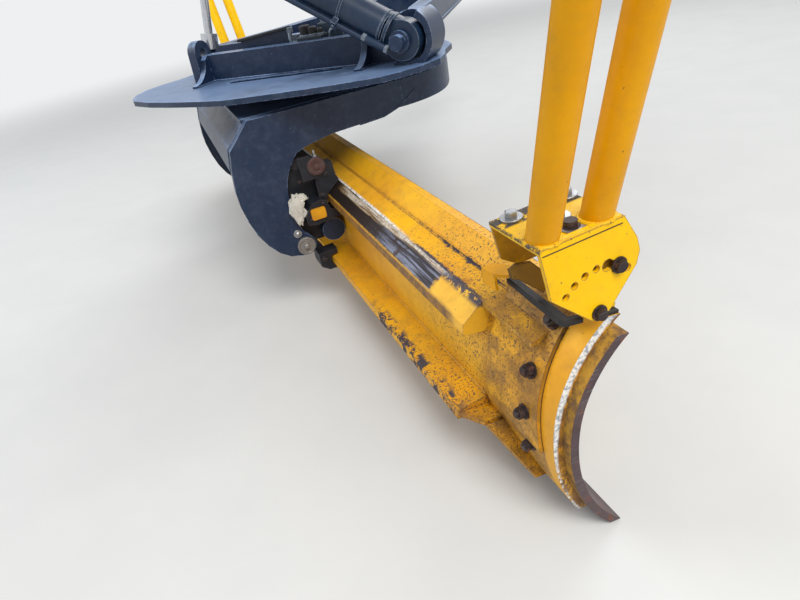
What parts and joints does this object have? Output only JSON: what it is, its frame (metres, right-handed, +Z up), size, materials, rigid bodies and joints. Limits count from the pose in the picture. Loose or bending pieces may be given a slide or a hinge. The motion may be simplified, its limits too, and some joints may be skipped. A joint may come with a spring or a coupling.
{
  "type": "motor grader blade assembly",
  "caption": "Drawbar with a turning circle, a curved moldboard on slide rails with cutting edges, hydraulic cylinders and twin-tube masts at both blade ends.",
  "frame": {"origin": "centre of the drawbar's front ball", "axes": "+Y forward along the drawbar, +X to its right, +Z up and square to the circle"},
  "size_m": [3.2693, 3.9034, 2.0231],
  "materials": {
    "frame_paint": "satin",
    "ball_steel": "satin",
    "drive_black": "satin",
    "pin_steel": "worn",
    "carrier_black": "worn",
    "insert_yellow": "worn",
    "cylinder_paint": "satin",
    "rod_chrome": "polished",
    "blade_yellow": "worn",
    "rail_steel": "worn",
    "edge_steel": "rusted",
    "bolt_steel": "rusted",
    "mast_yellow": "gloss",
    "pad_rubber": "matt",
    "lift_paint": "satin"
  },
  "bodies": {
    "drawbar": {"drawbar_frame": "frame_paint", "drawbar_ball": "ball_steel", "drawbar_web": "frame_paint", "drawbar_ear_left": "frame_paint", "drawbar_ear_right": "frame_paint", "circle_guides": "frame_paint", "circle_drive": "frame_paint", "drive_motor": "drive_black"},
    "circle": {"circle_ring": "frame_paint", "circle_base": "frame_paint", "circle_arm_left": "frame_paint", "circle_arm_right": "frame_paint", "circle_crossplate": "frame_paint", "arm_pins": "pin_steel"},
    "carrier": {"carrier": "carrier_black", "carrier_clamps": "carrier_black", "clamp_inserts": "insert_yellow", "shift_barrel": "cylinder_paint"},
    "blade": {"shift_rod": "rod_chrome", "moldboard_sheet": "blade_yellow", "blade_ledge": "blade_yellow", "slide_rail": "rail_steel", "lower_rail": "blade_yellow", "cutting_edges": "edge_steel", "end_bit_left": "edge_steel", "end_bit_right": "edge_steel", "end_plates": "blade_yellow", "end_bolts": "bolt_steel", "mast_pads": "pad_rubber", "mast_bracket_left": "mast_yellow", "mast_bracket_right": "mast_yellow", "mast_bolts": "bolt_steel", "mast_tubes_left": "mast_yellow", "mast_tubes_right": "mast_yellow"},
    "pitch_barrel": {"pitch_barrel": "cylinder_paint"},
    "pitch_rod": {"pitch_rod": "rod_chrome"},
    "centre_barrel": {"centre_barrel": "cylinder_paint"},
    "centre_rod": {"centre_rod": "rod_chrome"},
    "lift_rod_left": {"lift_rod_left": "rod_chrome"},
    "lift_rod_right": {"lift_rod_right": "rod_chrome"},
    "lift_barrel_left": {"lift_barrel_left": "lift_paint"},
    "lift_barrel_right": {"lift_barrel_right": "lift_paint"}
  },
  "joints": [
    {"name": "circle_turn", "type": "hinge", "parent": "drawbar", "child": "circle", "pos_m": [0, -1.95, 0], "axis": [0, 0, 1], "range_deg": [-30.4, 117.6]},
    {"name": "blade_pitch", "type": "hinge", "parent": "circle", "child": "carrier", "pos_m": [-0.30964, -2.27515, -0.677], "axis": [0.7242, -0.6896, 0], "range_deg": [-14, 10]},
    {"name": "blade_shift", "type": "slide", "parent": "carrier", "child": "blade", "axis": [0.7242, -0.6896, 0], "range_m": [-0.6, 0.34]},
    {"name": "pitch_barrel_swing", "type": "hinge", "parent": "circle", "child": "pitch_barrel", "pos_m": [-0.36343, -2.33164, -0.222], "axis": [0.7242, -0.6896, 0], "range_deg": [-12, 14]},
    {"name": "pitch_rod_slide", "type": "slide", "parent": "pitch_barrel", "child": "pitch_rod", "axis": [0.4058, 0.4261, -0.8085], "range_m": [-0.045, 0.065]},
    {"name": "centre_barrel_swing", "type": "hinge", "parent": "drawbar", "child": "centre_barrel", "pos_m": [0.617, -2.4645, 0.022], "axis": [0, 1, 0], "range_deg": [-15, 30]},
    {"name": "centre_rod_slide", "type": "slide", "parent": "centre_barrel", "child": "centre_rod", "axis": [-0.8545, 0, 0.5195], "range_m": [-0.14, 0.25]},
    {"name": "lift_left_swing", "type": "hinge", "parent": "drawbar", "child": "lift_rod_left", "pos_m": [-0.408, -2.262, 0.062], "axis": [1, 0, 0], "range_deg": [-10, 10]},
    {"name": "lift_left_slide", "type": "slide", "parent": "lift_rod_left", "child": "lift_barrel_left", "axis": [0.12, 0.16, 0.9798], "range_m": [-0.25, 0.19]},
    {"name": "lift_right_swing", "type": "hinge", "parent": "drawbar", "child": "lift_rod_right", "pos_m": [0.408, -2.262, 0.062], "axis": [1, 0, 0], "range_deg": [-10, 10]},
    {"name": "lift_right_slide", "type": "slide", "parent": "lift_rod_right", "child": "lift_barrel_right", "axis": [-0.12, 0.16, 0.9798], "range_m": [-0.25, 0.19]}
  ],
  "couplings": [
    {"joint": "pitch_barrel_swing", "follows": "blade_pitch", "ratio": -0.75},
    {"joint": "pitch_rod_slide", "follows": "blade_pitch", "m_per_rad": -0.205}
  ]
}
